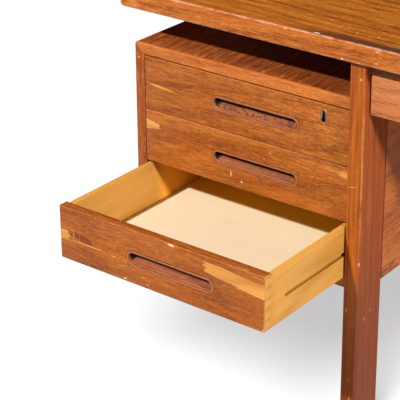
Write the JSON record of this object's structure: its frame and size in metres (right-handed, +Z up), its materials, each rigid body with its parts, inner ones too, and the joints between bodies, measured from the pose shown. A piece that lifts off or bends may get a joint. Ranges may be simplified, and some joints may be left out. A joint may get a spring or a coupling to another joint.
{
  "type": "executive desk",
  "caption": "Teak executive desk: a floating top over drawer pedestals with carved finger pulls, plank legs and a shallow centre drawer.",
  "frame": {"origin": "centre of the desk's box on the floor, with the lower left drawer open", "axes": "+X along the desk to the user's right, -Y towards the user, +Z up"},
  "size_m": [1.6, 0.972, 0.725],
  "materials": {
    "front_teak": "worn oiled teak",
    "pull_teak": "darker carved teak",
    "leg_teak": "worn oiled solid teak",
    "top_teak": "worn oiled teak veneer",
    "carcass_teak": "oiled teak veneer",
    "drawer_wood": "lacquered light hardwood",
    "pale_plywood": "raw pale plywood",
    "runner_wood": "waxed hardwood",
    "lock_metal": "aged nickel-plated brass",
    "steel": "plain steel",
    "glide_plastic": "dark nylon"
  },
  "bodies": {
    "desk_frame": {"back_rail": "carcass_teak", "carcass_back_left": "carcass_teak", "carcass_back_right": "carcass_teak", "carcass_bottom_left": "carcass_teak", "carcass_bottom_right": "carcass_teak", "carcass_top_left": "carcass_teak", "carcass_top_right": "carcass_teak", "centre_drawer_guides": "runner_wood", "desktop_core": "top_teak", "desktop_lipping": "top_teak", "desktop_screws": "steel", "drawer_runners_left": "runner_wood", "drawer_runners_right": "runner_wood", "front_rail": "carcass_teak", "inner_panel_left": "carcass_teak", "inner_panel_right": "carcass_teak", "leg_back_left": "leg_teak", "leg_back_right": "leg_teak", "leg_front_left": "leg_teak", "leg_front_right": "leg_teak", "leg_glides": "glide_plastic", "lock_strikes": "lock_metal", "modesty_panel": "carcass_teak", "outer_side_left": "carcass_teak", "outer_side_right": "carcass_teak"},
    "centre_drawer": {"centre_drawer_bottom": "pale_plywood", "centre_drawer_box": "drawer_wood", "centre_drawer_front": "front_teak", "centre_drawer_pull": "pull_teak"},
    "left_lower_drawer": {"left_lower_drawer_bottom": "pale_plywood", "left_lower_drawer_box": "drawer_wood", "left_lower_drawer_front": "front_teak", "left_lower_drawer_pull": "pull_teak"},
    "left_middle_drawer": {"left_middle_drawer_bottom": "pale_plywood", "left_middle_drawer_box": "drawer_wood", "left_middle_drawer_front": "front_teak", "left_middle_drawer_pull": "pull_teak"},
    "left_upper_drawer": {"left_upper_drawer_bottom": "pale_plywood", "left_upper_drawer_box": "drawer_wood", "left_upper_drawer_front": "front_teak", "left_upper_drawer_keyhole_liner": "lock_metal", "left_upper_drawer_lock_case": "lock_metal", "left_upper_drawer_pull": "pull_teak"},
    "left_upper_drawer_bolt": {"left_upper_drawer_lock_bolt": "lock_metal"},
    "right_lower_drawer": {"right_lower_drawer_bottom": "pale_plywood", "right_lower_drawer_box": "drawer_wood", "right_lower_drawer_front": "front_teak", "right_lower_drawer_pull": "pull_teak"},
    "right_middle_drawer": {"right_middle_drawer_bottom": "pale_plywood", "right_middle_drawer_box": "drawer_wood", "right_middle_drawer_front": "front_teak", "right_middle_drawer_pull": "pull_teak"},
    "right_upper_drawer": {"right_upper_drawer_bottom": "pale_plywood", "right_upper_drawer_box": "drawer_wood", "right_upper_drawer_front": "front_teak", "right_upper_drawer_keyhole_liner": "lock_metal", "right_upper_drawer_lock_case": "lock_metal", "right_upper_drawer_pull": "pull_teak"},
    "right_upper_drawer_bolt": {"right_upper_drawer_lock_bolt": "lock_metal"}
  },
  "joints": [
    {"name": "left_lower_drawer_slide", "type": "slide", "parent": "desk_frame", "child": "left_lower_drawer", "axis": [0, -1, 0], "range_m": [-0.231, 0.169]},
    {"name": "left_middle_drawer_slide", "type": "slide", "parent": "desk_frame", "child": "left_middle_drawer", "axis": [0, -1, 0], "range_m": [0, 0.4]},
    {"name": "left_upper_drawer_slide", "type": "slide", "parent": "desk_frame", "child": "left_upper_drawer", "axis": [0, -1, 0], "range_m": [0, 0.4]},
    {"name": "right_lower_drawer_slide", "type": "slide", "parent": "desk_frame", "child": "right_lower_drawer", "axis": [0, -1, 0], "range_m": [0, 0.4]},
    {"name": "right_middle_drawer_slide", "type": "slide", "parent": "desk_frame", "child": "right_middle_drawer", "axis": [0, -1, 0], "range_m": [0, 0.4]},
    {"name": "right_upper_drawer_slide", "type": "slide", "parent": "desk_frame", "child": "right_upper_drawer", "axis": [0, -1, 0], "range_m": [0, 0.4]},
    {"name": "centre_drawer_slide", "type": "slide", "parent": "desk_frame", "child": "centre_drawer", "axis": [0, -1, 0], "range_m": [0, 0.32]},
    {"name": "left_upper_drawer_bolt_slide", "type": "slide", "parent": "left_upper_drawer", "child": "left_upper_drawer_bolt", "axis": [0, 0, 1], "range_m": [0, 0.007]},
    {"name": "right_upper_drawer_bolt_slide", "type": "slide", "parent": "right_upper_drawer", "child": "right_upper_drawer_bolt", "axis": [0, 0, 1], "range_m": [0, 0.007]}
  ]
}
